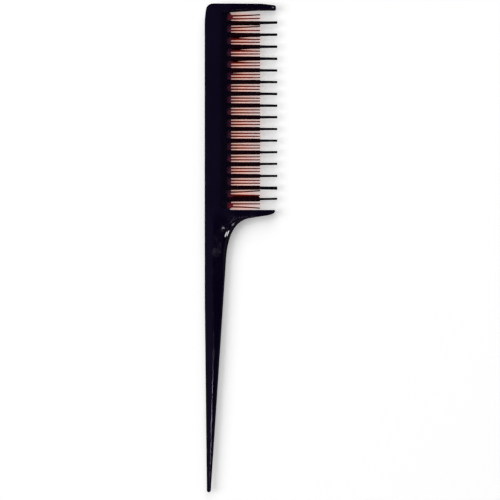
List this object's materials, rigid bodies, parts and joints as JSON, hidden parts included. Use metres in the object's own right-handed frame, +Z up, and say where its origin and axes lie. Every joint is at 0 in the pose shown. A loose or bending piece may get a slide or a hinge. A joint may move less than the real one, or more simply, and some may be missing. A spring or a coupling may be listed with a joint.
{
  "type": "rat tail comb",
  "caption": "Teasing comb with a long pointed tail, two end guards, and a row of short fine teeth between two rows of longer, wider-spaced teeth.",
  "frame": {"origin": "on the table plane, under the middle of the comb's length and width, with the comb lying flat", "axes": "+Y from the tip of the tail to the head, +X from the back edge to the tooth tips, +Z up through the thickness"},
  "size_m": [0.032, 0.216, 0.0064],
  "materials": {
    "body_plastic": "blue-black moulded plastic, polished by handling",
    "long_tooth_plastic": "black moulded plastic, satin at the gullets",
    "fine_tooth_plastic": "translucent red-brown moulded plastic"
  },
  "bodies": {
    "root": {"comb_body": "body_plastic", "front_long_tooth_strip": "long_tooth_plastic", "fine_tooth_strip": "fine_tooth_plastic", "back_long_tooth_strip": "long_tooth_plastic"}
  },
  "joints": []
}
